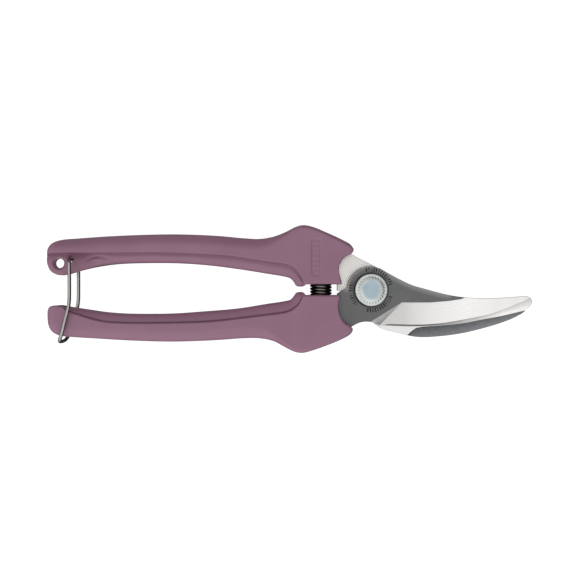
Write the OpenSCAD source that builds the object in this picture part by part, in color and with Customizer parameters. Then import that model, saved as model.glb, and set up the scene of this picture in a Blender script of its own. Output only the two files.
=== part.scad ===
// Bypass pruning shears with pressed-steel handles, closed and held shut by a wire latch.
// Frame: origin on the pivot axis at the resting plane, +X towards the blade tips,
// +Y towards the upper handle, +Z towards the face that carries the bolt head.

/* [Handles] */
// Width of each handle shell across the pivot direction
handle_w = 14; // [12:0.5:18]
// Thickness of the pressed sheet
sheet_t = 2; // [1:0.25:2.5]
// How far the inner strip of each wall lies below the main face
strip_drop = 1.5; // [0.5:0.25:2]
// Width of the lower handle at its tail
tail_w = 12; // [10:0.5:14]

/* [Blades] */
// Thickness of each blade
blade_t = 2.9; // [2:0.1:3.4]
// Gap between the two blades, filled by the shim
blade_gap = 0.2; // [0.1:0.1:0.4]

/* [Pivot] */
// Diameter of the bolt head
head_d = 12.6; // [10:0.2:14]
// Height of the bolt head
head_h = 2.5; // [1.5:0.1:3]
// Diameter of the bolt shank
shank_d = 8; // [6:0.5:8.5]
// Outer diameter of the bush that both blades sit on
bush_d = 10; // [9.5:0.1:11]
// Radial running clearance between the bush and the moving blade
running_gap = 0.05; // [0.02:0.01:0.1]
// Thickness of the washer under the bolt head
head_washer_t = 0.6; // [0.4:0.1:1]
// Thickness of the spring washer on the nut
nut_washer_t = 1.0; // [0.6:0.1:1.4]

/* [Return spring] */
// Outer diameter of the coil
spring_d = 8.6; // [7:0.1:9]
// Diameter of the spring wire
spring_wire = 1.1; // [0.8:0.1:1.2]
// Rise of the coil per turn with the handles closed
spring_pitch = 1.2; // [1.2:0.05:1.3]
// Distance of the coil's axis behind the pivot
spring_back = 19.4; // [18:0.2:20]

/* [Latch] */
// Diameter of the latch wire
latch_wire_d = 1.4; // [1:0.1:1.6]
// Diameter of the hanging hole in the upper handle's tail
hang_hole_d = 3.7; // [3:0.1:5]

/* [Hidden] */
$fn = 64;

// Heights along the pivot axis. The latch legs and the nut both touch the resting plane.
latch_clear = 0.3;
mid_z = latch_wire_d + latch_clear + handle_w / 2;
bottom_z = mid_z - handle_w / 2;
top_z = mid_z + handle_w / 2;
cavity_low = bottom_z + sheet_t;
cavity_high = top_z - sheet_t;
counter_z = mid_z - blade_gap / 2 - blade_t;
cutting_z = mid_z + blade_gap / 2;
stack_top = cutting_z + blade_t;
nut_t = counter_z - nut_washer_t;
tab_t = 2 * sheet_t;

// Colours
paint = [0.52, 0.38, 0.46];
dark_steel = [0.36, 0.36, 0.38];
bright_steel = [0.78, 0.78, 0.77];
zinc = [0.70, 0.74, 0.78];
black_steel = [0.16, 0.15, 0.15];

// Edges of the upper handle. Each list runs from the tail to the head.
upper_back = [[-126.6, 13.5], [-126.2, 16.2], [-124.6, 18.2], [-121.4, 19.5], [-114, 20.2], [-99, 21.2],
    [-77, 21.8], [-60, 21.2], [-50, 20.3], [-43.5, 20], [-38, 20.9], [-33, 22.8], [-29.5, 24.6],
    [-26.5, 25.4], [-23, 24.8], [-17, 22.4], [-11, 19.6], [-8, 17.9]];
upper_front = [[-8, 17.9], [-6.8, 16.1], [-7.6, 14.1], [-10.5, 12.5], [-12.3, 9.8], [-12.6, 7.2],
    [-12, 4.5], [-11.2, 2.2]];
upper_inner = [[-126.6, 13.5], [-126.5, 10.5], [-125.4, 7.6], [-123.2, 6.1], [-121, 5.7], [-118.5, 6],
    [-113, 7.6], [-107, 9.1], [-100, 10.1], [-92, 10.5], [-76, 10.5], [-64, 9.7], [-52, 8.2], [-40, 6.3],
    [-34, 5.3], [-31.3, 4.5], [-30, 3.1]];
upper_nub = [[-28.7, 1.3], [-26.2, 1.3], [-25.4, 2.2]];
// Crease between the main face and the inner strip
upper_crease = [[-128, 14], [-106, 14], [-94, 14.1], [-82.5, 14.2], [-66.5, 13.6], [-54.5, 12.8],
    [-46.5, 11.6], [-38.5, 10.4], [-33, 9.6], [-30, 8.2], [-27.6, 5.3], [-26.2, 2.2]];

// Edges of the lower handle, listed the same way
lower_back = [[-126.5, -10.5], [-126.2, -13.8], [-124.6, -16.4], [-121.8, -17.9], [-118, -18.4],
    [-107, -19.1], [-93, -19.9], [-77, -20.3], [-60, -19.7], [-50, -19], [-43.5, -19], [-38, -20.1],
    [-33, -22.7], [-29.5, -24.3], [-26.5, -24.7], [-23, -23.8], [-17, -21.7], [-11, -19.2], [-8, -17.4]];
lower_front = [[-8, -17.4], [-7.1, -15.8], [-8, -14], [-10.4, -12.6], [-12.3, -9.6], [-12.9, -6.6],
    [-12.6, -4.2], [-11.8, -2]];
lower_inner = [[-126.5, -10.5], [-126.3, -8.2], [-125, -6.6], [-122.6, -6], [-119, -6.5], [-112, -7.5],
    [-104, -8.7], [-96, -9.3], [-78, -9.3], [-66, -8.5], [-52, -7.3], [-40, -5.4], [-34, -4.5],
    [-31.3, -3.8], [-30, -2.4]];
lower_nub = [[-28.7, -0.9], [-26.3, -0.8], [-25.6, -2]];
lower_crease = [[-118.5, -6.4], [-118, -8.1], [-113.5, -9.4], [-107, -11.3], [-102, -12.2],
    [-94, -12.6], [-82.5, -12.6], [-62.5, -12], [-46.5, -10.2], [-36, -8.9], [-33, -8.4],
    [-30.2, -7.2], [-27.9, -5], [-26.4, -2]];

// Outline of the counter blade, from the tang's top round the tip and back along the hook
counter_top = [[-28, 12], [-28, 18], [-26, 20.2], [-22, 20.2], [-14, 17.8], [-4, 12.2], [3.8, 8.3]];
counter_throat = [[7.9, 5.9], [9.8, 0], [10.4, -4.5], [13, -8.6], [18, -10.9], [27, -11.4],
    [38, -10.2], [50, -8], [60, -5.6]];
counter_hook = [[60, -5.6], [61.6, -6.6], [60.9, -8.4], [56.6, -11], [51.5, -13], [46.7, -14.5],
    [37.1, -16.9], [28, -18.2], [19.5, -18.6], [14.8, -17.9], [9.5, -16.6], [5.3, -15.6], [3, -14.3],
    [-0.5, -11.3]];
counter_heel = [[-13, -0.3], [-13.2, 6], [-14.5, 8.4], [-26, 9.5]];

// Outline of the cutting blade, from the boss along the back to the tip and back along the edge
cutting_top = [[3.8, 8.3], [7.9, 5.9], [11.5, 4], [16, 1.9], [20.8, 0.5], [25.5, -0.8], [30, -1.9],
    [35, -2.7], [43, -3.3], [51, -3.1], [57, -2.7], [60.6, -2.4], [62.5, -2.9], [63.4, -4.3],
    [62.9, -6.1], [60.7, -8.1]];
cutting_edge = [[60.7, -8.1], [51.2, -10.3], [43.5, -11.7], [37.5, -12.9], [29.5, -13.8], [23, -14.1],
    [15, -14.3], [9, -14.1], [3.5, -13.7], [0.3, -12.6], [-2.5, -12.4], [-5, -13], [-8, -14.6]];
cutting_tang = [[-14, -17.3], [-22, -19.8], [-26, -19.8], [-28, -17.5], [-28, -12], [-26, -9.5],
    [-14.5, -8.4], [-13.2, -6], [-13.1, -1.4], [-11.6, -0.4]];
boss_r = 9.4;
// Where each blade's outline follows the boss, in degrees from +X
counter_boss = [184, 252];
cutting_boss = [88, 176];

// One leg of the latch wire, from its hooked-in end to the U below the lower handle, as
// [x, y, distance from the middle plane]
latch_pivot = [-117.2, 12];
latch_half = handle_w / 2 + latch_clear + latch_wire_d / 2;
latch_leg = [[-117.2, 12, 0.15], [-117.2, 12, 2.3], [-117.2, 12, 3], [-116.95, 11.65, latch_half - 3.2],
    [-116.65, 11.25, latch_half - 1.7], [-116.5, 10.95, latch_half - 0.8], [-116.42, 10.4, latch_half - 0.2],
    [-116.35, 8.2, latch_half - 0.1], [-116.3, 2, latch_half - 0.1], [-116.4, -4.5, latch_half - 0.15],
    [-116.8, -7.1, latch_half - 0.2], [-118.2, -12.3, latch_half - 0.4],
    [-119, -15.5, latch_half - 0.6], [-119.7, -17.5, latch_half - 1],
    [-120.5, -19.3, latch_half - 2.2], [-120.9, -20, latch_half - 4]];
hang_hole = [-121.7, 10.4];
tab_end = -113;

// Half the closed length of the return spring, and the seats that it stands on
spring_end = 5.5;
seat_t = 1.5;
seat_gap = 0.3;
peg_l = 2.5;

// Rivets through each handle and its blade's tang, given for the upper side
rivet_d = 4;
rivet_clear = 0.05;
rivet_places = [[-17.5, 14], [-24, 15]];
// Packing plate round the rivets, given for the upper side
spacer_outline = [[-27, 10.5], [-27, 18.5], [-22, 19.8], [-14.5, 17.3], [-14.5, 9.5]];

// Rounding of each handle's back edge, as steps of [depth below the face, width from the edge]
edge_steps = [[0.6, 1.5], [1.7, 0.7]];
// How far the hollow side of the crease lies from its outer side
crease_shift = [0.9, 1.1];
// Both ends of the hollow's back wall, at the tail and past the head
upper_hollow = [[-111, 17.5], [2, 15]];
lower_hollow = [[-119, -15], [2, -14]];
// The back wall follows the handle's back up to here
hollow_head = -9;
// Where the lower tail narrows to its own width
tail_end = -111;

// Bolt head, washers and nut
head_chamfer = 0.8;
head_washer_d = head_d - 0.6;
nut_washer_d = head_d + 0.8;
across_flats = 13;
shim_margin = 1.5;

// How far the cutting shapes reach: beyond a face, and to plan limits past the tool's own outline
past = 1;
past_head = 2;
past_tail = -140;
past_side = 40;
past_middle = 3;

// One point of a centripetal Catmull-Rom curve between b and c
function curve_knot(a, b) = sqrt(norm(b - a));
function curve_point(a, b, c, d, f) =
    let (t1 = curve_knot(a, b), t2 = t1 + curve_knot(b, c), t3 = t2 + curve_knot(c, d),
        t = t1 + (t2 - t1) * f,
        ab = (t1 - t) / t1 * a + t / t1 * b,
        bc = (t2 - t) / (t2 - t1) * b + (t - t1) / (t2 - t1) * c,
        cd = (t3 - t) / (t3 - t2) * c + (t - t2) / (t3 - t2) * d,
        abc = (t2 - t) / t2 * ab + t / t2 * bc,
        bcd = (t3 - t) / (t3 - t1) * bc + (t - t1) / (t3 - t1) * cd)
    (t2 - t) / (t2 - t1) * abc + (t - t1) / (t2 - t1) * bcd;

// Smooth curve through the points p, without its last point. Works in the plane and in space.
function curve(p, steps = 2) =
    [for (i = [0:len(p) - 2], j = [0:steps - 1])
        let (first = i == 0 ? 2 * p[0] - p[1] : p[i - 1],
            last = i == len(p) - 2 ? 2 * p[i + 1] - p[i] : p[i + 2])
        curve_point(first, p[i], p[i + 1], last, j / steps)];

function reversed(p) = [for (i = [len(p) - 1:-1:0]) p[i]];
function unit(v) = v / norm(v);
function arc(r, from, to, steps) =
    [for (i = [0:steps]) let (a = from + (to - from) * i / steps) r * [cos(a), sin(a)]];

// Moves each point of an open curve sideways by d, to the right of its direction
function shifted(p, d) =
    [for (i = [0:len(p) - 1])
        let (v = unit(p[min(i + 1, len(p) - 1)] - p[max(i - 1, 0)]))
        p[i] + d * [v[1], -v[0]]];

function last(p) = p[len(p) - 1];
function rectangle(x0, x1, y0, y1) = [[x0, y0], [x1, y0], [x1, y1], [x0, y1]];

// Plan regions of a handle. side is +1 for the upper handle and -1 for the lower one.
// Everything outside the handle's back edge
function outside(back, side) =
    concat([[past_tail, back[0][1]]], back, [[past_head, last(back)[1]],
        [past_head, side * past_side], [past_tail, side * past_side]]);
// From a crease to the middle of the tool and a little past it
function within(crease, side) =
    let (y = -side * (past_middle + past))
    concat(curve(crease), [last(crease), [last(crease)[0], y], [crease[0][0], y]]);
// The same for the hollow side of the crease
function hollow_within(crease, side) =
    within([for (p = crease) p + [crease_shift[0], side * crease_shift[1]]], side);
// The hollow behind the sheet of the back, open to the middle of the tool
function hollow(back, side, ends) =
    let (wall = [for (p = curve(back)) if (p[0] > ends[0][0] && p[0] < hollow_head) p],
        y = -side * past_middle)
    concat([ends[0]], shifted(wall, side * sheet_t), [ends[1], [ends[1][0], y], [ends[0][0], y]]);

upper_outline = concat(curve(upper_back), curve(upper_front), [last(upper_front)], reversed(upper_nub),
    curve(reversed(upper_inner)));
lower_outline = reversed(concat(curve(lower_back), curve(lower_front), [last(lower_front)],
    reversed(lower_nub), curve(reversed(lower_inner))));

module slab(points, z0, z1) {
    translate([0, 0, z0]) linear_extrude(height = z1 - z0) polygon(points);
}

// The outer body of a handle, with its back edge stepped inwards near both faces
module rounded_body(outline, back, side) {
    difference() {
        slab(outline, bottom_z, top_z);
        for (step = edge_steps)
            face_cut(outside(shifted(back, side * step[1]), side), handle_w / 2 - step[0]);
    }
}

// Removes both faces of a handle down to the given height above the middle plane
module face_cut(points, half) {
    slab(points, bottom_z - past, mid_z - half);
    slab(points, mid_z + half, top_z + past);
}

// The hollow of a handle: full width behind the crease, narrower between the inner strips
module channel(points, inner_strip) {
    difference() {
        slab(points, cavity_low, cavity_high);
        slab(inner_strip, cavity_low - past, cavity_low + strip_drop);
        slab(inner_strip, cavity_high - strip_drop, cavity_high + past);
    }
}

module upper_handle() {
    color(paint) difference() {
        rounded_body(upper_outline, curve(upper_back), 1);
        face_cut(within(upper_crease, 1), handle_w / 2 - strip_drop);
        face_cut(rectangle(past_tail, tab_end, -past_middle, upper_crease[0][1]), tab_t / 2);
        channel(hollow(upper_back, 1, upper_hollow), hollow_within(upper_crease, 1));
        translate([hang_hole[0], hang_hole[1], 0]) cylinder(d = hang_hole_d, h = top_z + past);
        translate([latch_pivot[0], latch_pivot[1], 0])
            cylinder(d = latch_wire_d + 2 * running_gap, h = top_z + past);
    }
}

module lower_handle() {
    tail = rectangle(past_tail, tail_end, -past_side, past_middle);
    color(paint) difference() {
        rounded_body(lower_outline, curve(lower_back), -1);
        face_cut(within(lower_crease, -1), handle_w / 2 - strip_drop);
        face_cut(tail, tail_w / 2);
        difference() {
            channel(hollow(lower_back, -1, lower_hollow), hollow_within(lower_crease, -1));
            face_cut(tail, tail_w / 2 - sheet_t);
        }
    }
}

module counter_blade() {
    outline = concat(counter_top, curve(counter_throat, 3), curve(counter_hook, 3),
        arc(boss_r, counter_boss[1], counter_boss[0], 9), counter_heel);
    color(bright_steel) difference() {
        slab(outline, counter_z, counter_z + blade_t);
        translate([0, 0, counter_z - past]) cylinder(d = bush_d, h = blade_t + 2 * past);
        rivets(1, counter_z - past, blade_t + 2 * past, rivet_clear);
    }
}

module cutting_blade() {
    outline = concat(arc(boss_r, cutting_boss[1], cutting_boss[0], 10), curve(cutting_top, 3),
        curve(cutting_edge, 3), [last(cutting_edge)], cutting_tang);
    color(dark_steel) difference() {
        slab(outline, cutting_z, stack_top);
        translate([0, 0, cutting_z - past])
            cylinder(d = bush_d + 2 * running_gap, h = blade_t + 2 * past);
        rivets(-1, cutting_z - past, blade_t + 2 * past, rivet_clear);
    }
}

// The two rivets of one side, or with a clearance the holes that they stand in
module rivets(side, z, h, clear = 0) {
    for (p = rivet_places) translate([p[0], side * p[1], z]) cylinder(d = rivet_d + 2 * clear, h = h);
}

module tang_rivets(side) {
    color(zinc) rivets(side, cavity_low, cavity_high - cavity_low);
}

// Packing plate between a tang and a wall of its handle
module spacer(side, z0, z1) {
    color(black_steel) difference() {
        slab([for (p = spacer_outline) [p[0], side * p[1]]], z0, z1);
        rivets(side, z0 - past, z1 - z0 + 2 * past, rivet_clear);
    }
}

module spring_seat(side) {
    peg_d = spring_d - 2 * spring_wire - 2 * seat_gap;
    color(black_steel) {
        translate([-spring_back - spring_d / 2, side > 0 ? spring_end : -spring_end - seat_t, cavity_low])
            cube([spring_d, seat_t, cavity_high - cavity_low]);
        translate([-spring_back, side * (spring_end + seat_t / 2), mid_z]) rotate([side * 90, 0, 0])
            cylinder(d = peg_d, h = peg_l + seat_t / 2);
    }
}

// Closed tube over rings of points, with flat ends
module tube_mesh(points, ring, steps) {
    sides = [for (i = [0:steps - 1], k = [0:ring - 1])
        let (n = (k + 1) % ring)
        [i * ring + k, i * ring + n, (i + 1) * ring + n, (i + 1) * ring + k]];
    start = [for (k = [ring - 1:-1:0]) k];
    end = [for (k = [0:ring - 1]) steps * ring + k];
    polyhedron(points, concat(sides, [start], [end]));
}

// The coil, wound along the +Y direction
module return_spring() {
    ring = 8;
    per_turn = 16;
    turns = (2 * spring_end - spring_wire) / spring_pitch;
    steps = round(turns * per_turn);
    coil_r = (spring_d - spring_wire) / 2;
    points = [for (i = [0:steps], k = [0:ring - 1])
        let (a = 360 * i / per_turn, b = 360 * k / ring, r = coil_r + spring_wire / 2 * cos(b))
        [r * cos(a) - spring_back,
            spring_wire / 2 - spring_end + spring_pitch * i / per_turn + spring_wire / 2 * sin(b),
            mid_z + r * sin(a)]];
    color(black_steel) tube_mesh(points, ring, steps);
}

module pivot_bolt() {
    head_z = stack_top + head_washer_t;
    color(zinc) {
        cylinder(d = shank_d, h = head_z + head_chamfer);
        translate([0, 0, head_z]) cylinder(d = head_d, h = head_h - head_chamfer);
        translate([0, 0, head_z + head_h - head_chamfer])
            cylinder(d1 = head_d, d2 = head_d - 2 * head_chamfer, h = head_chamfer);
    }
}

module ring(outer, inner, z0, z1) {
    translate([0, 0, z0]) difference() {
        cylinder(d = outer, h = z1 - z0);
        translate([0, 0, -past]) cylinder(d = inner, h = z1 - z0 + 2 * past);
    }
}

module pivot_nut() {
    color(zinc) difference() {
        cylinder(d = across_flats / cos(30), h = nut_t, $fn = 6);
        translate([0, 0, -past]) cylinder(d = shank_d, h = nut_t + 2 * past);
    }
}

module head_washer() {
    color(zinc) ring(head_washer_d, shank_d, stack_top, stack_top + head_washer_t);
}

module nut_washer() {
    color(zinc) ring(nut_washer_d, shank_d, nut_t, counter_z);
}

module blade_shim() {
    color(bright_steel) ring(2 * (boss_r - shim_margin), bush_d, counter_z + blade_t, cutting_z);
}

module pivot_bush() {
    color(bright_steel) ring(bush_d, shank_d, counter_z, stack_top);
}

// The latch as one swept wire: hooked into the upper handle, down both sides and round the lower one
module latch_wire() {
    ring = 12;
    leg = curve(latch_leg, 3);
    bend = last(latch_leg);
    path = concat(leg, [[bend[0], bend[1], 0]], [for (p = reversed(leg)) [p[0], p[1], -p[2]]]);
    steps = len(path) - 1;
    points = [for (i = [0:steps], k = [0:ring - 1])
        let (along = unit(path[min(i + 1, steps)] - path[max(i - 1, 0)]),
            side = unit(cross(along, [1, 0, 0])),
            up = cross(side, along),
            a = 360 * k / ring)
        path[i] + [0, 0, mid_z] + latch_wire_d / 2 * (side * cos(a) + up * sin(a))];
    color(bright_steel) tube_mesh(points, ring, steps);
}

upper_handle();
lower_handle();
counter_blade();
cutting_blade();
pivot_bolt();
pivot_nut();
head_washer();
nut_washer();
blade_shim();
pivot_bush();
return_spring();
spring_seat(1);  // upper_spring_seat
spring_seat(-1);  // lower_spring_seat
spacer(1, counter_z + blade_t, cavity_high);  // upper_near_spacer
spacer(1, cavity_low, counter_z);  // upper_far_spacer
spacer(-1, stack_top, cavity_high);  // lower_near_spacer
spacer(-1, cavity_low, cutting_z);  // lower_far_spacer
tang_rivets(1);  // upper_tang_rivets
tang_rivets(-1);  // lower_tang_rivets
latch_wire();
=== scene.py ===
"""Looks of the closed bypass pruning shears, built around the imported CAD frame.

Lengths are in millimetres until a mesh is made, and the row frame is the CAD's: origin on the
pivot axis at the resting plane, +X to the blade tips, +Y to the upper handle, +Z to the bolt head.
"""
import math

import bmesh
import bpy
import numpy as np
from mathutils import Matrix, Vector
from mathutils.geometry import delaunay_2d_cdt


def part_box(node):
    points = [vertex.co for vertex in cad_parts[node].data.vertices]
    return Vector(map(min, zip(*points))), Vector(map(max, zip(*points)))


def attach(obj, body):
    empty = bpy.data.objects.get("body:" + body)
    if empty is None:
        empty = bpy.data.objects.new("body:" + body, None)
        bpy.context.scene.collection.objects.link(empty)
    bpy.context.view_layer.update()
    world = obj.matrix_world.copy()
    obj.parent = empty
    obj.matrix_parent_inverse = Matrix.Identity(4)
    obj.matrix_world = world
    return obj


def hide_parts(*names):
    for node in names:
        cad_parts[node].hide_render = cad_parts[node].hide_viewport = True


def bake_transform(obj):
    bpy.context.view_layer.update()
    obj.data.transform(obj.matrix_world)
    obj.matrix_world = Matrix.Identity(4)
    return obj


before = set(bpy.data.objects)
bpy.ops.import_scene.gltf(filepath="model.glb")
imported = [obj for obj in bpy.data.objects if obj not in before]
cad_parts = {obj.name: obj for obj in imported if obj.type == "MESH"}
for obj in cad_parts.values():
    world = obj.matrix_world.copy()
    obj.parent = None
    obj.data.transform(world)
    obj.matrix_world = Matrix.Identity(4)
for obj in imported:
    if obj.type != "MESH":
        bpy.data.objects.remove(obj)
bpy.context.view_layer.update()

MM = 0.001


# ---------------------------------------------------------------- sizes from the frame

def low(node, axis):
    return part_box(node)[0][axis] / MM


def high(node, axis):
    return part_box(node)[1][axis] / MM


BOTTOM_Z = low("upper_handle", 2)
TOP_Z = high("upper_handle", 2)
MID_Z = (BOTTOM_Z + TOP_Z) / 2
HALF_W = (TOP_Z - BOTTOM_Z) / 2
TAIL_X = low("upper_handle", 0)
LOWER_TAIL_X = low("lower_handle", 0)
COUNTER_LOW, COUNTER_HIGH = low("counter_blade", 2), high("counter_blade", 2)
CUTTING_LOW, CUTTING_HIGH = low("cutting_blade", 2), high("cutting_blade", 2)
HEAD_LOW = high("head_washer", 2)
HEAD_TOP = high("pivot_bolt", 2)
HEAD_R = high("pivot_bolt", 1)
BUSH_R = high("pivot_bush", 1)
NUT_TOP = high("pivot_nut", 2)
SHANK_R = 4.0
SPRING_X = (low("return_spring", 0) + high("return_spring", 0)) / 2
SPRING_R = (high("return_spring", 0) - low("return_spring", 0)) / 2
SPRING_END = high("return_spring", 1)
WIRE_R = 0.7

SHEET_T = 2.0
STRIP_DROP = 1.5
TAIL_HALF = 6.0
BOSS_R = 9.4
BLADE_X = high("cutting_blade", 0)


# ---------------------------------------------------------------- curves

def curve(points, steps=8):
    """Centripetal Catmull-Rom curve through given points."""
    p = [np.array(q, float) for q in points]
    p = [2 * p[0] - p[1]] + p + [2 * p[-1] - p[-2]]
    out = []
    for a, b, c, d in zip(p, p[1:], p[2:], p[3:]):
        t1 = np.sqrt(np.linalg.norm(b - a))
        t2 = t1 + np.sqrt(np.linalg.norm(c - b))
        t3 = t2 + np.sqrt(np.linalg.norm(d - c))
        for i in range(steps):
            t = t1 + (t2 - t1) * i / steps
            ab = (t1 - t) / t1 * a + t / t1 * b
            bc = (t2 - t) / (t2 - t1) * b + (t - t1) / (t2 - t1) * c
            cd = (t3 - t) / (t3 - t2) * c + (t - t2) / (t3 - t2) * d
            abc = (t2 - t) / t2 * ab + t / t2 * bc
            bcd = (t3 - t) / (t3 - t1) * bc + (t - t1) / (t3 - t1) * cd
            out.append((t2 - t) / (t2 - t1) * abc + (t - t1) / (t2 - t1) * bcd)
    out.append(p[-2])
    return np.array(out)


def arc(radius, start, end, steps):
    angles = np.radians(np.linspace(start, end, steps))
    return np.stack([radius * np.cos(angles), radius * np.sin(angles)], 1)


def along(points, share):
    """Point at a share of a polyline's length."""
    lengths = np.concatenate([[0], np.cumsum(np.linalg.norm(np.diff(points, axis=0), axis=1))])
    s = share * lengths[-1]
    return np.array([np.interp(s, lengths, points[:, k]) for k in range(points.shape[1])])


def smooth(t):
    t = np.clip(t, 0, 1)
    return t * t * (3 - 2 * t)


# ---------------------------------------------------------------- meshes

def make_object(name, verts, faces, materials, face_slots=None, sharp=35):
    """A mesh object from millimetre coordinates, smooth where its faces meet at under sharp degrees."""
    mesh = bpy.data.meshes.new(name)
    mesh.from_pydata([tuple(MM * float(c) for c in v) for v in verts], [], faces)
    for material in materials:
        mesh.materials.append(material)
    if face_slots is not None:
        mesh.polygons.foreach_set("material_index", np.array(face_slots, np.int32))
    mesh.validate()
    tidy = bmesh.new()
    tidy.from_mesh(mesh)
    bmesh.ops.remove_doubles(tidy, verts=tidy.verts, dist=1e-7)
    bmesh.ops.dissolve_degenerate(tidy, edges=tidy.edges, dist=1e-7)
    bmesh.ops.recalc_face_normals(tidy, faces=tidy.faces)
    tidy.to_mesh(mesh)
    tidy.free()
    mesh.shade_smooth()
    mesh.set_sharp_from_angle(angle=math.radians(sharp))
    obj = bpy.data.objects.new(name, mesh)
    bpy.context.scene.collection.objects.link(obj)
    return obj


def band(first, second, count):
    """Quads between two closed rings of count points, which start at first and at second."""
    quads = []
    for k in range(count):
        after = (k + 1) % count
        quads.append([first + k, first + after, second + after, second + k])
    return quads


def caps(total, count):
    """The two flat ends of a tube of total points in rings of count."""
    return [list(range(count))[::-1], list(range(total - count, total))]


def cut_hole(obj, centre, rings, sides):
    """Cuts an oval hole or pocket along Z. rings lists its [z, radius in x, radius in y] from one end."""
    angles = [2 * math.pi * i / sides for i in range(sides)]
    verts = []
    for z, across, along_y in rings:
        verts += [(centre[0] + across * math.cos(a), centre[1] + along_y * math.sin(a), z) for a in angles]
    faces = caps(len(verts), sides)
    for first in range(0, len(verts) - sides, sides):
        faces += band(first, first + sides, sides)
    cutter = make_object("cutter", verts, faces, [])
    modifier = obj.modifiers.new("hole", "BOOLEAN")
    modifier.operation = "DIFFERENCE"
    modifier.solver = "EXACT"
    modifier.object = cutter
    apply_modifiers(obj)
    bpy.data.objects.remove(cutter)


def apply_modifiers(obj):
    depsgraph = bpy.context.evaluated_depsgraph_get()
    mesh = bpy.data.meshes.new_from_object(obj.evaluated_get(depsgraph))
    obj.modifiers.clear()
    obj.data = mesh


def sweep(name, path, radius, ring, material):
    """Round tube along a path, with flat ends, its rings turned as little as possible."""
    path = np.array(path, float)
    tangents = np.gradient(path, axis=0)
    tangents /= np.linalg.norm(tangents, axis=1)[:, None]
    side = np.cross(tangents[0], [1.0, 0.3, 0.1])
    side /= np.linalg.norm(side)
    verts, faces = [], []
    for i, (centre, tangent) in enumerate(zip(path, tangents)):
        side = side - tangent * side.dot(tangent)
        side /= np.linalg.norm(side)
        up = np.cross(tangent, side)
        for k in range(ring):
            a = 2 * math.pi * k / ring
            verts.append(centre + radius * (side * math.cos(a) + up * math.sin(a)))
        if i:
            faces += band((i - 1) * ring, i * ring, ring)
    faces += caps(len(verts), ring)
    return make_object(name, verts, faces, [material], sharp=60)


def lathe(name, profile, sides, material, lift, sharp):
    """Solid of revolution about the pivot axis. lift(r, angle, z) adds height to a point."""
    verts, faces = [], []
    for i, (r, z) in enumerate(profile):
        for k in range(sides):
            a = 2 * math.pi * k / sides
            verts.append((r * math.cos(a), r * math.sin(a), z + lift(r, a, z)))
        if i:
            faces += band((i - 1) * sides, i * sides, sides)
    faces += caps(len(verts), sides)
    return make_object(name, verts, faces, [material], sharp=sharp)


# ---------------------------------------------------------------- materials

class Nodes:
    """Short helper for building one material's node tree."""

    def __init__(self, name):
        self.material = bpy.data.materials.new(name)
        self.material.use_nodes = True
        self.tree = self.material.node_tree
        self.shader = self.tree.nodes["Principled BSDF"]
        self.place = self.add("ShaderNodeTexCoord").outputs["Object"]

    def add(self, kind, **values):
        node = self.tree.nodes.new(kind)
        for key, value in values.items():
            setattr(node, key, value)
        return node

    def link(self, source, target):
        self.tree.links.new(source, target)

    def stretched(self, scale):
        mapping = self.add("ShaderNodeMapping")
        mapping.inputs["Scale"].default_value = scale
        self.link(self.place, mapping.inputs["Vector"])
        return mapping.outputs["Vector"]

    def noise(self, scale, detail=4, stretch=(1, 1, 1), roughness=0.55):
        node = self.add("ShaderNodeTexNoise")
        node.inputs["Scale"].default_value = scale
        node.inputs["Detail"].default_value = detail
        node.inputs["Roughness"].default_value = roughness
        self.link(self.stretched(stretch), node.inputs["Vector"])
        return node.outputs["Fac"]

    def ramp(self, factor, stops):
        node = self.add("ShaderNodeValToRGB")
        elements = node.color_ramp.elements
        while len(elements) < len(stops):
            elements.new(0.5)
        for element, (position, colour) in zip(elements, stops):
            element.position = position
            element.color = (*colour, 1)
        self.link(factor, node.inputs["Fac"])
        return node.outputs["Color"]

    def span(self, factor, lowest, highest):
        node = self.add("ShaderNodeMapRange")
        node.inputs["To Min"].default_value = lowest
        node.inputs["To Max"].default_value = highest
        self.link(factor, node.inputs["Value"])
        return node.outputs["Result"]

    def axes(self):
        """Sockets X, Y and Z of the place."""
        split = self.add("ShaderNodeSeparateXYZ")
        self.link(self.place, split.inputs[0])
        return split.outputs

    def fade(self, length, start, end, interpolation="LINEAR"):
        """0 to 1 as a length goes from start to end, both in millimetres."""
        node = self.add("ShaderNodeMapRange", interpolation_type=interpolation)
        node.inputs["From Min"].default_value = start * MM
        node.inputs["From Max"].default_value = end * MM
        self.link(length, node.inputs["Value"])
        return node.outputs["Result"]

    def mix(self, factor, a, b, blend="MIX"):
        node = self.add("ShaderNodeMix", data_type="RGBA", blend_type=blend)
        for value, socket in ((factor, node.inputs["Factor"]), (a, node.inputs["A"]), (b, node.inputs["B"])):
            pick = [s for s in node.inputs if s.name == socket.name and s.enabled][0]
            if hasattr(value, "links"):
                self.link(value, pick)
            else:
                pick.default_value = value if isinstance(value, float) else (*value, 1)
        return [s for s in node.outputs if s.enabled][0]

    def math(self, operation, a, b=None):
        node = self.add("ShaderNodeMath", operation=operation)
        for value, socket in ((a, node.inputs[0]), (b, node.inputs[1])):
            if value is None:
                continue
            if hasattr(value, "links"):
                self.link(value, socket)
            else:
                socket.default_value = value
        return node.outputs[0]

    def bump(self, height, strength, distance):
        node = self.add("ShaderNodeBump")
        node.inputs["Strength"].default_value = strength
        node.inputs["Distance"].default_value = distance
        self.link(height, node.inputs["Height"])
        return node.outputs["Normal"]

    def finish(self, colour, roughness, normal, **fixed):
        for name, source in (("Base Color", colour), ("Roughness", roughness), ("Normal", normal)):
            self.link(source, self.shader.inputs[name])
        for name, value in fixed.items():
            self.shader.inputs[name.replace("_", " ")].default_value = value
        return self.material


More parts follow.
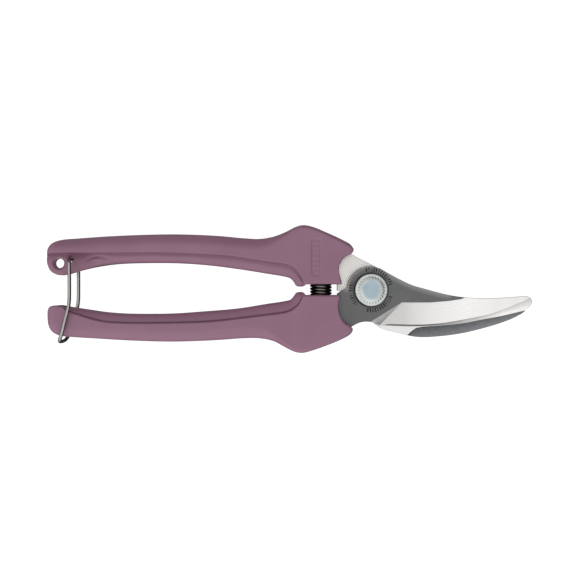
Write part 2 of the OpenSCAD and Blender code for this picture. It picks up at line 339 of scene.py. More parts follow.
def handle_paint():
    n = Nodes("handle_paint")
    patches = n.noise(55, 3)
    colour = n.ramp(patches, [(0.3, (0.270, 0.129, 0.194)), (0.7, (0.301, 0.146, 0.220))])
    wear_and_sheen = n.math("MULTIPLY", n.ramp(n.add("ShaderNodeNewGeometry").outputs["Pointiness"],
                                     [(0.515, (0, 0, 0)), (0.56, (1, 1, 1))]), n.noise(420, 4))
    colour = n.mix(n.math("MULTIPLY", wear_and_sheen, 0.5), colour, (0.40, 0.30, 0.35))
    peel = n.noise(1500, 2)
    normal = n.bump(peel, 0.10, 0.0001)
    return n.finish(colour, n.span(n.noise(240, 3), 0.40, 0.50), normal,
                    Specular_IOR_Level=0.5, Coat_Weight=0.12, Coat_Roughness=0.3)


def radius_of(n):
    """Distance from the pivot axis, with the x and y that it comes from."""
    x, y, _ = n.axes()
    return n.math("SQRT", n.math("ADD", n.math("MULTIPLY", x, x), n.math("MULTIPLY", y, y))), x, y


TICK_RING_R = 7.85
TICK_HALF_HEIGHT = 0.85
TICK_COUNT = 50


def ticks(n, ring_r, half_height, count):
    """Mask of plain radial ticks round the pivot, in three unevenly printed groups."""
    radius, x, y = radius_of(n)
    away = n.math("ABSOLUTE", n.math("SUBTRACT", radius, ring_r * MM))
    in_ring = n.math("LESS_THAN", away, half_height * MM)
    angle = n.math("ARCTAN2", y, x)
    turn = n.math("FRACT", n.math("MULTIPLY", angle, count / (2 * math.pi)))
    in_tick = n.math("LESS_THAN", turn, 0.5)
    in_group = n.math("LESS_THAN", n.math("COSINE", n.math("MULTIPLY", angle, 3)), 0.7)
    printed = n.ramp(n.noise(420, 2), [(0.36, (0.15, 0.15, 0.15)), (0.52, (1, 1, 1))])
    return n.math("MULTIPLY", n.math("MULTIPLY", in_ring, in_tick), n.math("MULTIPLY", in_group, printed))


def dark_blade_steel():
    """Blackened steel with a painted sheen along the blade's back, a painted highlight on the boss rim, a
    painted shadow ring round the bolt head, and plain marks round the pivot.
    """
    n = Nodes("dark_blade_steel")
    grain = n.noise(700, 5, (1, 6, 1))
    patches = n.noise(70, 4)
    colour = n.ramp(patches, [(0.3, (0.126, 0.128, 0.127)), (0.7, (0.158, 0.160, 0.159))])
    colour = n.mix(n.math("MULTIPLY", grain, 0.35), colour, (0.10, 0.10, 0.10))
    # Painted sheen along the blade's back and painted highlight on the boss rim: these lighten the steel's
    # colour there
    painted_sheens = (("back_sheen", 0.8, (0.34, 0.345, 0.35)), ("rim_highlight", 0.9, (0.36, 0.34, 0.32)))
    for name, strength, tone in painted_sheens:
        wear_and_sheen = n.add("ShaderNodeAttribute", attribute_name=name).outputs["Fac"]
        wear_and_sheen = n.math("MULTIPLY", wear_and_sheen, n.span(n.noise(300, 4), 0.6 * strength, strength))
        colour = n.mix(wear_and_sheen, colour, tone)
    colour = n.mix(ticks(n, TICK_RING_R, TICK_HALF_HEIGHT, TICK_COUNT), colour, (0.014, 0.014, 0.015))
    # Painted shadow: darkens the steel in a ring just round the bolt head
    painted_shadow_ring = n.fade(radius_of(n)[0], HEAD_R + 0.9, HEAD_R + 0.1, "SMOOTHSTEP")
    colour = n.mix(painted_shadow_ring, colour, (0.012, 0.012, 0.012))
    return n.finish(colour, n.span(grain, 0.36, 0.50), n.bump(grain, 0.12, 0.00006), Metallic=0.75)


def along_blade(n, stops):
    """Tone that changes along the blade, from stops of (x in millimetres, tone)."""
    share = n.fade(n.axes()["X"], 0, BLADE_X)
    return n.ramp(share, [(x / BLADE_X, (tone, tone, tone)) for x, tone in stops])


def by_height(n, dark_z, bright_z, dark, bright):
    """Grey tone that goes from dark at one height to bright at another."""
    share = n.fade(n.axes()["Z"], dark_z, bright_z)
    return n.ramp(share, [(0.05, (dark, dark, dark)), (0.95, (bright, bright, bright))])


def ground_steel(name, darkest, brightest):
    """Ground steel with fine lines from the wheel, not yet finished."""
    n = Nodes(name)
    lines = n.noise(380, 6, (1, 14, 1))
    warm = (1.0, 0.988, 0.975)
    stops = [(0.3, tuple(darkest * c for c in warm)), (0.7, tuple(brightest * c for c in warm))]
    return n, lines, n.ramp(lines, stops)


def finish_ground(n, lines, colour):
    return n.finish(colour, n.span(lines, 0.24, 0.38), n.bump(lines, 0.10, 0.00005), Metallic=1.0)


def plain_ground():
    return finish_ground(*ground_steel("ground_steel", 0.64, 0.75))


def bevel_steel():
    """The ground bevel, with painted shade that darkens it towards its run-out at the boss."""
    n, lines, colour = ground_steel("bevel_steel", 0.70, 0.82)
    # Painted shade: the bevel's reflection, darker towards the boss and brighter towards the tip
    tone = along_blade(n, [(2, 0.62), (13, 0.66), (17, 0.75), (23, 0.84), (36, 0.955), (47, 0.94), (56, 1.01),
                           (61, 1.0)])
    return finish_ground(n, lines, n.mix(1.0, colour, tone, "MULTIPLY"))


def honed_steel():
    """The honed strip along the cutting edge, with painted shade under its crease, lighter towards the edge,
    and painted shadow near the boss.
    """
    n, lines, colour = ground_steel("honed_steel", 0.60, 0.72)
    # Painted shadow: darker near the boss, lighter towards the tip
    tone = along_blade(n, [(6, 0.45), (16, 0.38), (23, 0.42), (29, 0.56), (41, 0.70), (47, 0.86), (52, 1.0)])
    colour = n.mix(1.0, colour, tone, "MULTIPLY")
    # Painted shade: darker under the crease, lighter towards the edge
    shade = by_height(n, CUTTING_LOW + 0.75, CUTTING_LOW + 0.25, 0.80, 1.18)
    return finish_ground(n, lines, n.mix(1.0, colour, shade, "MULTIPLY"))


def turned_steel():
    """Ground steel with the faint arcs that a turning wheel leaves around the pivot."""
    n = Nodes("turned_steel")
    rings = n.add("ShaderNodeTexWave", wave_type="RINGS", rings_direction="Z", wave_profile="SIN")
    rings.inputs["Scale"].default_value = 420
    rings.inputs["Distortion"].default_value = 1.2
    rings.inputs["Detail"].default_value = 3
    n.link(n.place, rings.inputs["Vector"])
    colour = n.ramp(rings.outputs["Fac"], [(0.2, (0.54, 0.525, 0.50)), (0.8, (0.73, 0.715, 0.69))])
    normal = n.bump(rings.outputs["Fac"], 0.18, 0.00005)
    return n.finish(colour, n.span(n.noise(300, 4), 0.28, 0.40), normal, Metallic=1.0)


# How far down the band the painted shadow under the cutting blade fades
SCALE_FADE = 0.9


def scale_steel():
    """The unground, speckled dark face of the hook, with painted shadow under the blade, and darker near the
    boss.
    """
    n = Nodes("scale_steel")
    speckle = n.noise(1400, 5, roughness=0.6)
    streak = n.noise(260, 4, (1, 5, 1))
    colour = n.ramp(speckle, [(0.35, (0.158, 0.162, 0.172)), (0.65, (0.235, 0.239, 0.252))])
    colour = n.mix(n.math("MULTIPLY", streak, 0.4), colour, (0.18, 0.18, 0.192))
    # Painted shadow: darker at the band's top edge, under the cutting blade
    colour = n.mix(1.0, colour, by_height(n, COUNTER_HIGH, COUNTER_HIGH - SCALE_FADE, 0.50, 1.1), "MULTIPLY")
    tone = along_blade(n, [(14, 0.55), (20, 0.78), (32, 0.88), (42, 1.0), (58, 1.0)])
    colour = n.mix(1.0, colour, tone, "MULTIPLY")
    return n.finish(colour, n.span(streak, 0.30, 0.48), n.bump(speckle, 0.25, 0.00008), Metallic=0.7)


def zinc_plate():
    n = Nodes("zinc_plate")
    grain = n.noise(900, 5, roughness=0.7)
    patches = n.noise(180, 3)
    colour = n.ramp(patches, [(0.3, (0.50, 0.57, 0.61)), (0.7, (0.62, 0.68, 0.70))])
    colour = n.mix(n.math("MULTIPLY", grain, 0.4), colour, (0.66, 0.70, 0.70))
    return n.finish(colour, n.span(grain, 0.34, 0.55), n.bump(grain, 0.35, 0.00008), Metallic=0.85)


def bolt_zinc():
    """Zinc plate that keeps more of its blue on the flat of the bolt head."""
    n = Nodes("bolt_zinc")
    radius = radius_of(n)[0]
    ragged = n.math("ADD", radius, n.span(n.noise(420, 4), -0.0012, 0.0012))
    blue = n.fade(ragged, 4.5, 2.6, "SMOOTHSTEP")
    grain = n.noise(900, 5, roughness=0.7)
    patches = n.noise(260, 4)
    plate_tone = n.ramp(patches, [(0.3, (0.54, 0.57, 0.56)), (0.7, (0.70, 0.73, 0.71))])
    blue_tone = n.ramp(patches, [(0.3, (0.30, 0.40, 0.47)), (0.7, (0.43, 0.53, 0.58))])
    colour = n.mix(blue, plate_tone, blue_tone)
    colour = n.mix(n.math("MULTIPLY", grain, 0.3), colour, (0.58, 0.62, 0.62))
    return n.finish(colour, n.span(grain, 0.38, 0.55), n.bump(grain, 0.35, 0.00008), Metallic=0.85)


def black_spring_steel():
    """Blued wire with a painted highlight on the crowns of the coils."""
    n = Nodes("black_spring_steel")
    grain = n.noise(500, 5)
    from_middle = n.math("ABSOLUTE", n.math("SUBTRACT", n.axes()["Z"], MID_Z * MM))
    # Painted highlight: lighter colour on the top and bottom crowns of the coils
    painted_crown_highlight = n.fade(from_middle, SPRING_R - 0.9, SPRING_R - 0.1, "SMOOTHSTEP")
    colour = n.ramp(grain, [(0.35, (0.020, 0.018, 0.016)), (0.75, (0.036, 0.033, 0.029))])
    colour = n.mix(painted_crown_highlight, colour, (0.19, 0.176, 0.155))
    return n.finish(colour, n.span(grain, 0.16, 0.26), n.bump(grain, 0.12, 0.00005), Metallic=0.9)


def packing_steel():
    n = Nodes("packing_steel")
    grain = n.noise(350, 6, roughness=0.7)
    colour = n.ramp(grain, [(0.3, (0.045, 0.043, 0.043)), (0.7, (0.085, 0.082, 0.080))])
    return n.finish(colour, n.span(grain, 0.55, 0.75), n.bump(grain, 0.3, 0.0001), Metallic=0.4)


def bright_wire():
    n = Nodes("bright_wire")
    drawn = n.noise(420, 4, (9, 1, 1))
    colour = n.ramp(drawn, [(0.3, (0.34, 0.33, 0.32)), (0.7, (0.47, 0.46, 0.44))])
    return n.finish(colour, n.span(drawn, 0.14, 0.26), n.bump(drawn, 0.08, 0.00003), Metallic=1.0)


PAINT = handle_paint()
DARK = dark_blade_steel()
GROUND = plain_ground()
BEVEL = bevel_steel()
HONED = honed_steel()
TURNED = turned_steel()
SCALE = scale_steel()
ZINC = zinc_plate()
BOLT_ZINC = bolt_zinc()
BLACK = black_spring_steel()
PACKING = packing_steel()
WIRE = bright_wire()


# ---------------------------------------------------------------- handles

class HandleShape:
    """Outline of one handle, in the upper handle's sense: y grows from the inner edge to the back."""

    def __init__(self, side, back, front, inner, nub, lip_y, crease, tail_x, strip_fall, groove_share):
        self.side = side
        self.strip_fall = strip_fall
        self.groove_share = groove_share
        self.back = curve(back, 12)
        self.front = curve(front, 12)
        self.inner = curve(inner, 12)
        self.nub = np.array(nub, float)
        self.lip_y = lip_y
        self.crease = curve(crease, 12)
        self.tail_x = tail_x
        self.corner = np.array([front[-1][0], lip_y])
        self.nose = self.back[-1]

    def back_at(self, x):
        return np.array([x, np.interp(x, self.back[:, 0], self.back[:, 1])])

    def inner_at(self, x):
        low_edge = np.concatenate([self.inner, self.nub])
        return np.array([x, np.interp(x, low_edge[:, 0], low_edge[:, 1])])

    def crease_at(self, x):
        return np.interp(x, self.crease[:, 0], self.crease[:, 1])


# Where the sections start to turn towards the front edge
MORPH_X = -20.0
HEAD_DEPTH = 9.0
TAIL_ROUND = 4.5
# Cross-section: the steep wall at the crease, its shoulder, the strip's bead and groove, the edge rounding
WALL_W = 0.3
SHOULDER_W = 0.5
BEAD_H = 0.25
GROOVE_H = 0.35
EDGE_R = 0.9
GRIP_ROUND, HEAD_ROUND = 4.9, 1.7
# The strip below the crease: where it ends, the most of the width it takes, and how it fades in
STRIP_END_X = -25.9
STRIP_MOST = 0.62
STRIP_BLEND = 2.4
# The lower handle's tail widens and the back grows rounder towards the grip, each over a length
TAIL_WIDEN_X, TAIL_WIDEN = -118, 16
GRIP_X, GRIP_BLEND = -30, 14
# Least height of the inner face above the middle, which keeps the two sides apart
LEAST_H = 0.03
# Flat tab of the upper handle's tail
TAB_END_X, TAB_RUNOUT = -113.5, 9.0
# Crescent dent beside the tab: place, half length, depth, half width, and how it curves below the crease
DENT_X, DENT_REACH, DENT_DEPTH, DENT_WIDTH = -106.2, 4.8, 0.75, 0.42
DENT_TOP, DENT_SAG = 1.3, 0.04
STRIP_STEPS = (0.0, 0.015, 0.05, 0.1, 0.18, 0.28, 0.4, 0.52, 0.64, 0.74, 0.82, 0.88, 0.94, 1.0)


def stations(shape):
    """The cross-sections' places as (foot, top, bend), bend telling how far one follows the front edge."""
    reach = 7.0
    xs = [shape.tail_x + 0.02 + reach * (1 - math.cos(a)) for a in np.linspace(0.0, math.pi / 2, 22)]
    xs += list(np.arange(xs[-1] + 0.6, -34, 0.9))
    xs += list(np.arange(-34, -25, 0.25))
    xs += list(np.arange(-25, MORPH_X, 0.32))
    places = [(shape.inner_at(x), shape.back_at(x), 0.0) for x in xs]
    start = shape.back_at(MORPH_X)
    rest = np.array([p for p in shape.back if p[0] > MORPH_X])
    rest = np.concatenate([[start], rest])
    for t in np.concatenate([np.linspace(0, 0.88, 32), [0.905, 0.93, 0.95, 0.967, 0.98, 0.99, 0.997, 1.0]]):
        foot = np.array([MORPH_X, shape.lip_y]) * (1 - t) + shape.corner * t
        places.append((foot, along(rest, t), t))
    return places


def tab_share(x):
    """1 in the flat tab of the tail, 0 where the strip has its own height."""
    return 1 - smooth((x - TAB_END_X) / TAB_RUNOUT)


def tail_dent(x, below):
    """Depth of the crescent where the flat tab runs out into the strip, below the crease."""
    along_x = x - DENT_X
    centre = DENT_TOP + DENT_SAG * along_x ** 2
    return DENT_DEPTH * math.exp(-(along_x / DENT_REACH) ** 4 - ((below - centre) / DENT_WIDTH) ** 2)


def section(shape, foot, top, bend, has_tab):
    """Outer and inner chains of one cross-section, from the near lip over the back to the far lip."""
    x = foot[0]
    width = np.linalg.norm(top - foot)
    strip = 0.0
    if bend == 0 and x < STRIP_END_X:
        strip = max(min(shape.crease_at(x) - foot[1], width * STRIP_MOST), 0.0)
    in_strip = smooth(strip / STRIP_BLEND)
    full = HALF_W
    if not has_tab:
        full = TAIL_HALF + (HALF_W - TAIL_HALF) * smooth((x - TAIL_WIDEN_X) / TAIL_WIDEN)
    tail = min((x - shape.tail_x) / TAIL_ROUND, 1.0)
    full *= math.sqrt(max(1 - (1 - tail) ** 2, 0.0016))
    foot_h = full - in_strip * (STRIP_DROP + shape.strip_fall)
    crease_h = full - in_strip * STRIP_DROP
    if has_tab:
        tab = tab_share(x)
        foot_h += (SHEET_T - foot_h) * tab
        crease_h += (SHEET_T - crease_h) * tab
        foot_h, crease_h = min(foot_h, full), min(crease_h, full)
    grip = smooth((GRIP_X - x) / GRIP_BLEND)
    round_d = min(HEAD_ROUND + (GRIP_ROUND - HEAD_ROUND) * grip, 0.8 * max(width - strip - 0.4, 0.2))
    flat_end = width - round_d
    wall_end = strip + min(WALL_W, 0.3 * max(flat_end - strip, 0.1))
    shoulder = min(SHOULDER_W, 0.6 * max(flat_end - wall_end, 0.1))

    spots = []
    for f in STRIP_STEPS:
        bead = BEAD_H * math.sin(math.pi * f)
        groove = GROOVE_H * float(smooth((f - 1 + shape.groove_share) / shape.groove_share))
        spots.append((strip * f, crease_h + (foot_h - crease_h) * (1 - f) + in_strip * (bead - groove)))
    if has_tab:
        spots = [(d, h - tail_dent(x, strip - d)) for d, h in spots]
    foot_of_wall = spots[-1][1]
    rise = full - foot_of_wall
    for f in (0.3, 0.65, 1.0):
        spots.append((strip + (wall_end - strip) * f, foot_of_wall + rise * (0.05 + 0.75 * f)))
    for a in np.linspace(0, math.pi / 2, 6)[1:]:
        spots.append((wall_end + shoulder * (1 - math.cos(a)), full - 0.2 * rise * (1 - math.sin(a))))
    start = wall_end + shoulder
    spots += [(start + (flat_end - start) * f, full) for f in np.linspace(0, 1, 37)[1:]]
    for a in np.linspace(0, math.pi / 2, 15)[1:-1]:
        spots.append((flat_end + round_d * math.sin(a), full * math.cos(a) ** 0.86))
    spots += [(width, 0.0)]
    d, h = np.array(spots).T
    if bend > 0:
        reach = (1 - bend) * HEAD_DEPTH
        fall = EDGE_R - math.sqrt(max(EDGE_R ** 2 - max(EDGE_R - reach, 0) ** 2, 0))
        h = np.where(h > EDGE_R, h - fall, h * (1 - fall / full))
    over = np.maximum(EDGE_R - d, 0)
    h = h - np.where(h > EDGE_R, EDGE_R - np.sqrt(np.maximum(EDGE_R ** 2 - over ** 2, 0)), 0)
    thick = min(SHEET_T, 0.45 * width)
    d_in = d * (width - thick) / max(width, 1e-6)
    h_in = np.maximum(np.interp(d_in, d, h) - SHEET_T, LEAST_H)
    taper = np.sqrt(np.clip((width - thick - d_in) / 3.0, 0, 1))
    h_in = np.where(h_in > LEAST_H, np.maximum(h_in * taper, LEAST_H), h_in)
    h_in[-1] = 0.0

    def place(distance, height, sign):
        v = distance / max(width, 1e-6)
        point = foot + (top - foot) * v
        if bend > 0:
            chord = shape.corner * (1 - v) + shape.nose * v
            point = point + bend ** 2 * (along(shape.front[::-1], v) - chord)
        return (point[0], shape.side * point[1], MID_Z + sign * height)

    def around(distances, heights):
        pairs = list(zip(distances, heights))
        return [place(a, b, 1) for a, b in pairs] + [place(a, b, -1) for a, b in pairs[-2::-1]]

    return around(d, h), around(d_in, h_in)


def handle_mesh(name, shape, has_tab, emblem=None):
    verts, faces = [], []
    rows = []
    for foot, top, bend in stations(shape):
        outer, inner = section(shape, foot, top, bend, has_tab)
        if emblem is not None:
            outer = [emblem(p) for p in outer]
        rows.append((len(verts), len(outer)))
        verts += outer + inner
    for (a, m), (b, _) in zip(rows, rows[1:]):
        for k in range(m - 1):
            faces.append([a + k, a + k + 1, b + k + 1, b + k])
            faces.append([a + m + k, b + m + k, b + m + k + 1, a + m + k + 1])
        faces.append([a, b, b + m, a + m])
        faces.append([a + m - 1, a + 2 * m - 1, b + 2 * m - 1, b + m - 1])
    for start, m in (rows[0], rows[-1]):
        for k in range(m - 1):
            faces.append([start + k, start + k + 1, start + m + k + 1, start + m + k])
    return make_object(name, verts, faces, [PAINT], sharp=50)


PANEL_X, PANEL_Y = -21.3, 12.6
PANEL_HALF_LENGTH, PANEL_HALF_WIDTH = 7.6, 2.1
PANEL_DEPTH = 0.30
PANEL_EDGE = 0.5
PANEL_MARGIN, RIB_MARGIN = 0.45, 1.1
RIB_H, RIB_PITCH = 0.24, 1.9
NEAR_FACE = 1.2


def emblem_press(point):
    """A plain pressed panel with cross ribs on the near face of the upper handle's head."""
    x, y, z = point
    if z < MID_Z + HALF_W - NEAR_FACE:
        return point
    along_y = max(abs(y - PANEL_Y) - (PANEL_HALF_LENGTH - PANEL_HALF_WIDTH), 0)
    distance = math.hypot(x - PANEL_X, along_y) - PANEL_HALF_WIDTH
    sunk = 1 - float(smooth((distance + PANEL_MARGIN) / PANEL_EDGE))
    rib = 0.5 + 0.5 * math.cos(2 * math.pi * (y - PANEL_Y) / RIB_PITCH)
    ribbed = 1 - float(smooth((distance + RIB_MARGIN) / PANEL_EDGE))
    return (x, y, z - PANEL_DEPTH * sunk + RIB_H * rib * ribbed)


UPPER = HandleShape(
    1,
    back=[[TAIL_X, 13.5], [-126.2, 16.2], [-124.6, 18.2], [-121.4, 19.5], [-114, 20.2], [-99, 21.2],
          [-77, 21.8], [-60, 21.2], [-50, 20.3], [-43.5, 20], [-38, 20.9], [-33, 22.8], [-29.5, 24.6],
          [-26.5, 25.37], [-23, 24.8], [-17, 22.4], [-11, 19.6], [-8, 17.9], [-6.9, 16.5]],
    front=[[-6.9, 16.5], [-6.9, 15.3], [-7.8, 14], [-10.5, 12.5], [-12.3, 9.8], [-12.6, 7.2], [-12, 4.5],
           [-11.4, 2.2]],
    inner=[[TAIL_X, 13.5], [-126.5, 10.5], [-125.4, 7.6], [-123.2, 6.1], [-121, 5.7], [-118.5, 6],
           [-113, 7.6], [-107, 9.1], [-100, 10.1], [-92, 10.5], [-76, 10.5], [-64, 9.7], [-52, 8.2],
           [-40, 6.3], [-34, 5.3], [-31.3, 4.5], [-30, 3.1]],
    nub=[[-29.3, 1.8], [-28.6, 1.35], [-26.6, 1.3], [-25.9, 1.6], [-25.3, 2.2], [-10, 2.2]],
    lip_y=2.2,
    crease=[[-128, 14], [-106, 14], [-94, 14.1], [-82.5, 14.2], [-66.5, 13.6], [-54.5, 12.8],
            [-46.5, 11.6], [-38.5, 10.4], [-33, 9.6], [-30, 8.2], [-27.6, 5.3], [-26.2, 2.2]],
    tail_x=TAIL_X, strip_fall=0.8, groove_share=0.42)

LOWER = HandleShape(
    -1,
    back=[[LOWER_TAIL_X, 10.5], [-126.2, 13.8], [-124.6, 16.4], [-121.8, 17.9], [-118, 18.4],
          [-107, 19.1], [-93, 19.9], [-77, 20.3], [-60, 19.7], [-50, 19], [-43.5, 19], [-38, 20.1],
          [-33, 22.7], [-29.5, 24.3], [-26.5, 24.66], [-23, 23.8], [-17, 21.7], [-11, 19.2], [-8, 17.4],
          [-7.2, 16.4]],
    front=[[-7.2, 16.4], [-7.3, 15], [-8.3, 13.8], [-10.4, 12.6], [-12.3, 9.6], [-12.9, 6.6],
           [-12.6, 4.2], [-12, 2]],
    inner=[[LOWER_TAIL_X, 10.5], [-126.3, 8.2], [-125, 6.6], [-122.6, 6], [-119, 6.5], [-112, 7.5],
           [-104, 8.7], [-96, 9.3], [-78, 9.3], [-66, 8.5], [-52, 7.3], [-40, 5.4], [-34, 4.5],
           [-31.3, 3.8], [-30, 2.4]],
    nub=[[-29.3, 1.3], [-28.6, 0.9], [-26.8, 0.8], [-26.1, 1.1], [-25.5, 2], [-10, 2]],
    lip_y=2.0,
    crease=[[-128, 4], [-121, 5], [-118, 7.8], [-113.5, 9.4], [-107, 11.3], [-102, 12.2], [-94, 12.6],
            [-82.5, 12.6], [-62.5, 12], [-46.5, 10.2], [-36, 8.9], [-33, 8.4], [-30.2, 7.2], [-27.9, 5],
            [-26.4, 2]],
    tail_x=LOWER_TAIL_X, strip_fall=1.8, groove_share=0.12)


# Hanging hole, flared at both faces of the tab
HANG_HOLE = (-121.7, 10.4)
HANG_R, HANG_MOUTH_R, HANG_FLARE = 1.85, 2.55, 0.7
# Hole of the latch wire, with an oval pocket sunk round it from both faces
LATCH_PIVOT = (-117.2, 12)
LATCH_PLAY = 0.06
POCKET_CENTRE = (-117.2, 12.1)
POCKET_RX, POCKET_RY = 1.0, 1.35
POCKET_WEB = 0.15


def hang_hole_rings():
    face, past = SHEET_T, 0.3
    half = [(face - HANG_FLARE, HANG_R), (face, HANG_MOUTH_R), (face + past, HANG_MOUTH_R + 0.2)]
    return [(MID_Z - h, r, r) for h, r in half[::-1]] + [(MID_Z + h, r, r) for h, r in half]


def build_handles():
    upper = handle_mesh("upper_handle_shell", UPPER, True, emblem_press)
    cut_hole(upper, HANG_HOLE, hang_hole_rings(), 64)
    for side in (-1, 1):
        pocket = [(MID_Z + side * h, POCKET_RX, POCKET_RY) for h in (POCKET_WEB, SHEET_T + 1.5)]
        cut_hole(upper, POCKET_CENTRE, pocket, 32)
    wire_hole = WIRE_R + LATCH_PLAY
    cut_hole(upper, LATCH_PIVOT, [(z, wire_hole, wire_hole) for z in (BOTTOM_Z, TOP_Z)], 32)
    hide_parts("upper_handle")
    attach(upper, "upper_half")
    lower = handle_mesh("lower_handle_shell", LOWER, False)
    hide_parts("lower_handle")
    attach(lower, "lower_half")


# ---------------------------------------------------------------- blades

def inside(points, outline):
    """Which points lie inside a closed outline."""
    x, y = points[:, 0], points[:, 1]
    hit = np.zeros(len(points), bool)
    for (x0, y0), (x1, y1) in zip(outline, np.roll(outline, -1, 0)):
        if y0 == y1:
            continue
        crosses = (y0 > y) != (y1 > y)
        hit ^= crosses & (x < (x1 - x0) * (y - y0) / (y1 - y0) + x0)
    return hit


def edge_distance(points, outline):
    """Distance from each point to a closed outline."""
    best = np.full(len(points), 1e9)
    for a, b in zip(outline, np.roll(outline, -1, 0)):
        ab = b - a
        t = np.clip(((points - a) @ ab) / max(ab @ ab, 1e-12), 0, 1)
        best = np.minimum(best, np.linalg.norm(points - (a + t[:, None] * ab), axis=1))
    return best


def inset(outline, d):
    """A closed outline moved inwards by d."""
    v = np.roll(outline, -1, 0) - np.roll(outline, 1, 0)
    v /= np.linalg.norm(v, axis=1)[:, None]
    area = np.sum(outline[:, 0] * np.roll(outline[:, 1], -1) - np.roll(outline[:, 0], -1) * outline[:, 1])
    normal = np.stack([-v[:, 1], v[:, 0]], 1) * np.sign(area)
    return outline + d * normal


def evenly(points, gap):
    """The same closed outline with no side shorter than a third of gap."""
    keep = [points[0]]
    for p in points[1:]:
        if np.linalg.norm(p - keep[-1]) > gap / 3:
            keep.append(p)
    if np.linalg.norm(keep[-1] - keep[0]) <= gap / 3:
        keep.pop()
    return np.array(keep)


PLATE_CHAMFER = 0.12
GRID_GAP = 1.4
# Least thickness of a ground edge
LEAST_EDGE = 0.08


def plate(name, outline, hole_r, lines, top, bottom, slot_of, materials):
    """A flat piece from its outline. top and bottom give the height of a point, lines are creases to keep."""
    chamfer = PLATE_CHAMFER
    outline = evenly(outline, 0.9)
    rim = inset(outline, chamfer)
    hole = arc(hole_r, 0, 360, 49)[:-1]
    hole_rim = arc(hole_r + chamfer, 0, 360, 49)[:-1]
    points, edges = [], []

    def add(line, closed):
        start = len(points)
        points.extend(line)
        count = len(line)
        for i in range(count if closed else count - 1):
            edges.append((start + i, start + (i + 1) % count))

    for loop in (outline, rim, hole, hole_rim):
        add(loop, True)
    for line in lines:
        add(line, False)
    corner, far = outline.min(0), outline.max(0)
    columns = np.arange(corner[0], far[0], GRID_GAP)
    rows = np.arange(corner[1], far[1], GRID_GAP)
    across, up = np.meshgrid(columns, rows, indexing="ij")
    grid = np.stack([across.ravel(), up.ravel()], 1)
    clear = inside(grid, outline) & (edge_distance(grid, outline) > 0.6)
    clear &= np.linalg.norm(grid, axis=1) > hole_r + 1
    for line in lines:
        clear &= edge_distance(grid, np.concatenate([line, line[::-1]])) > 0.4
    points.extend(grid[clear])
    flat, _, triangles, *_ = delaunay_2d_cdt([Vector(p) for p in points], edges, [], 0, 1e-5)
    flat = np.array([tuple(v) for v in flat])
    triangles = np.array([t for t in triangles if len(t) == 3])
    centres = flat[triangles].mean(1)
    kept = triangles[inside(centres, outline) & ~inside(centres, hole)]
    on_edge = (edge_distance(flat, outline) < 1e-3) | (edge_distance(flat, hole) < 1e-3)
    upper = [(x, y, top(x, y) - (chamfer if e else 0)) for (x, y), e in zip(flat, on_edge)]
    lower = [(x, y, bottom(x, y) + (chamfer if e else 0)) for (x, y), e in zip(flat, on_edge)]
    for i, (u, w) in enumerate(zip(upper, lower)):
        if u[2] < w[2] + LEAST_EDGE:
            upper[i] = (u[0], u[1], w[2] + LEAST_EDGE)
    count = len(flat)
    faces = [list(t) for t in kept] + [[count + i for i in t[::-1]] for t in kept]
    sides = {}
    for t in kept:
        for i in range(3):
            a, b = int(t[i]), int(t[(i + 1) % 3])
            sides[(a, b)] = (b, a) not in sides
            if (b, a) in sides:
                sides[(b, a)] = False
    for (a, b), open_side in sides.items():
        if open_side:
            faces.append([a, count + a, count + b, b])
    verts = upper + lower
    slots = [slot_of(np.mean([verts[i] for i in f], 0)) for f in faces]
    return make_object(name, verts, faces, materials, slots, sharp=12)


RIVETS = ((-17.5, 14), (-24, 15))
RIVET_R = 2.0


def rivet_cuts(obj, side, bottom, top):
    """The two rivet holes through a tang. side is 1 in the upper handle and -1 in the lower."""
    for x, y in RIVETS:
        cut_hole(obj, (x, side * y), [(z, RIVET_R, RIVET_R) for z in (bottom - 1, top + 1)], 32)


BEVEL_LINE = np.array([[-0.3, -12.5], [12, -4.9], [23.4, -4.9], [30.5, -4.3], [35.2, -3.6], [40.5, -3.05],
                       [48, -1.5], [56, 1.6], [64, 5.2]])
RAMP_FOOT = np.array([[3.6, -13.7], [12, -4.9]])
# Crease of the honed strip, and the second of its points, where the ramp's width is taken
MICRO_START = [6.6, -13.4]
MICRO_LINE = curve([[5.4, -13.7], MICRO_START, [10, -13.4], [17.5, -13.6], [23.4, -13.4], [29.3, -12.8],
                    [35.2, -11.8], [41.1, -10.7], [47, -9.4], [50.9, -8], [54.8, -6.6], [58, -5.1],
                    [60.3, -4.2], [62, -3.3]], 4)
CUTTING_EDGE = [[60.7, -8.1], [51.2, -10.3], [43.5, -11.7], [37.5, -12.9], [29.5, -13.8], [23, -14.1],
                [15, -14.3], [9, -14.1], [3.5, -13.7], [0.3, -12.6], [-2.5, -12.4], [-5, -13], [-8, -14.6]]
RAMP_WIDTH = RAMP_FOOT[1, 1] - MICRO_START[1]
# Height of the honed strip's crease above the blade's flat side, as [x, height]
MICRO_RISE = np.array([[0, 1.3], [25, 1.0], [42, 0.75]])
EDGE_H = 0.12
# The bevel's material starts here, a little inside its line and below the flat
BEVEL_FROM_X = 0.3
BEVEL_REACH = 0.4
BEVEL_SUNK = 0.012


def beside(line, d):
    """A copy of a line, moved to its right by d."""
    v = np.gradient(line, axis=0)
    v /= np.linalg.norm(v, axis=1)[:, None]
    return line + d * np.stack([v[:, 1], -v[:, 0]], 1)


def mark_near(obj, name, line, reach):
    """Stores on every point how near the line it is: 1 on the line, 0 at reach from it."""
    spots = np.array([v.co[:2] for v in obj.data.vertices]) / MM
    distance = edge_distance(spots, np.concatenate([line, line[::-1]]))
    mark = obj.data.attributes.new(name, "FLOAT", "POINT")
    mark.data.foreach_set("value", np.clip(1 - distance / reach, 0, 1).astype(np.float32))


